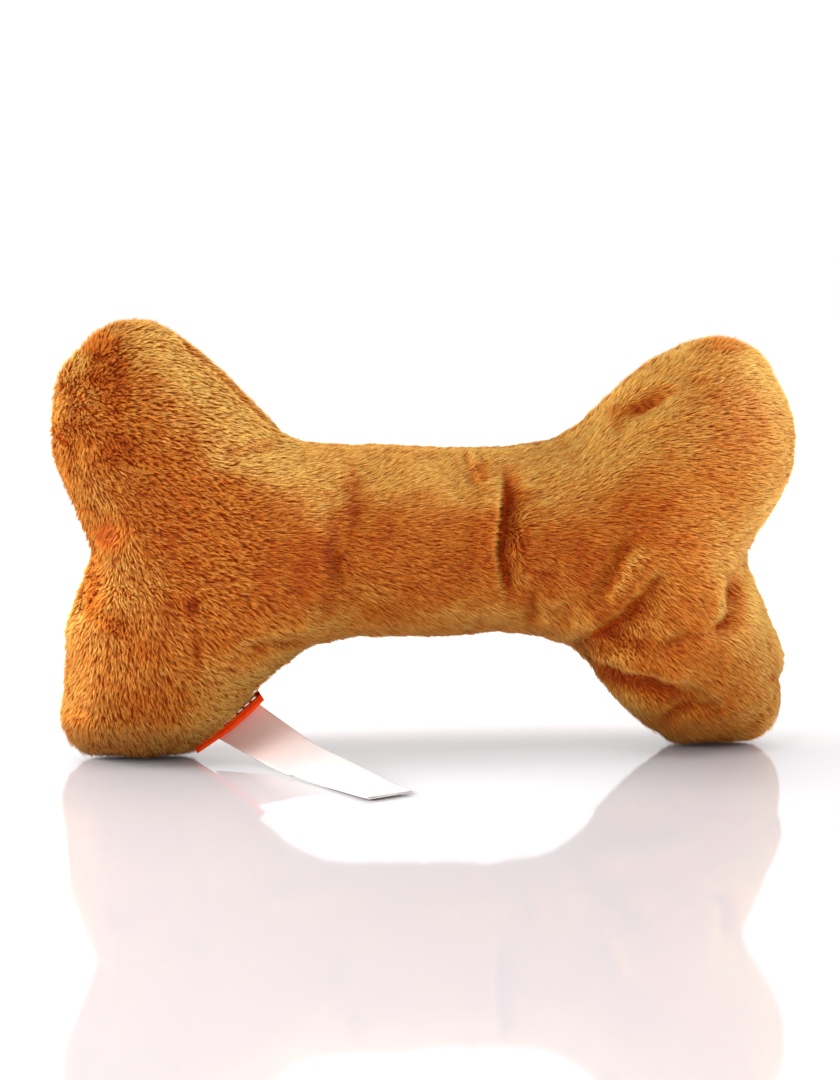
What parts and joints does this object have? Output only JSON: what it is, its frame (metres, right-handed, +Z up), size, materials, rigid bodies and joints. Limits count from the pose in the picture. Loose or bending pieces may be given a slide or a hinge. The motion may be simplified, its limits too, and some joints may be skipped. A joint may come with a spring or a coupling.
{
  "type": "plush squeaky dog toy",
  "caption": "Stuffed bone of short-pile plush that stands on its lower lobes, with a sewn-in woven tab, a satin care label and a reed squeaker inside its shank.",
  "frame": {"origin": "on the floor that the toy stands on, in the middle of its bounding box, care label included", "axes": "+X along the bone to the right as seen from the front, +Y from the front panel to the back panel, +Z up"},
  "size_m": [0.2596, 0.1102, 0.1531],
  "materials": {
    "plush": "golden ochre short-pile plush, brushed darker where the nap stands up",
    "seam_thread": "spun polyester thread dyed to the plush",
    "woven_tape": "orange-red woven tape, folded over",
    "white_thread": "white polyester thread",
    "satin": "white satin ribbon with woven edges",
    "fibre_filling": "loose white polyester fibre",
    "soft_polythene": "translucent blow-moulded polythene",
    "hard_plastic": "moulded white plastic",
    "reed_film": "clear polyester film"
  },
  "bodies": {
    "back_half": {"back_panel": "plush", "back_stuffing": "fibre_filling", "perimeter_seam_thread": "seam_thread", "closing_seam_thread": "seam_thread", "squeaker_bulb": "soft_polythene", "reed_holder": "hard_plastic", "reed_clamp": "hard_plastic"},
    "front_half": {"front_panel": "plush", "front_stuffing": "fibre_filling"},
    "reed": {"reed": "reed_film"},
    "tab": {"woven_tab": "woven_tape", "tab_stitching": "white_thread"},
    "care_label": {"care_label_upper_leaf": "satin", "care_label_lower_leaf": "satin"}
  },
  "joints": [
    {"name": "squeeze", "type": "slide", "parent": "back_half", "child": "front_half", "axis": [0, 1, 0], "range_m": [0, 0.02], "stiffness_N_per_m": 900, "deforming": ["front_panel", "front_stuffing", "back_stuffing", "squeaker_bulb"]},
    {"name": "reed_beat", "type": "hinge", "parent": "back_half", "child": "reed", "pos_m": [-0.0025, 0.0362, 0.0755], "axis": [-1, 0, 0], "range_deg": [-1.5, 5], "stiffness_Nm_per_rad": 0.0005},
    {"name": "label_swing", "type": "hinge", "parent": "back_half", "child": "care_label", "pos_m": [-0.06573, 0.0185, 0.01218], "axis": [0.7845, 0, 0.6201], "range_deg": [-30, 0]},
    {"name": "tab_flex", "type": "hinge", "parent": "back_half", "child": "tab", "pos_m": [-0.06573, 0.0185, 0.01218], "axis": [0.7845, 0, 0.6201], "range_deg": [-30, 0]}
  ],
  "couplings": [
    {"joint": "tab_flex", "follows": "label_swing", "ratio": 1}
  ]
}
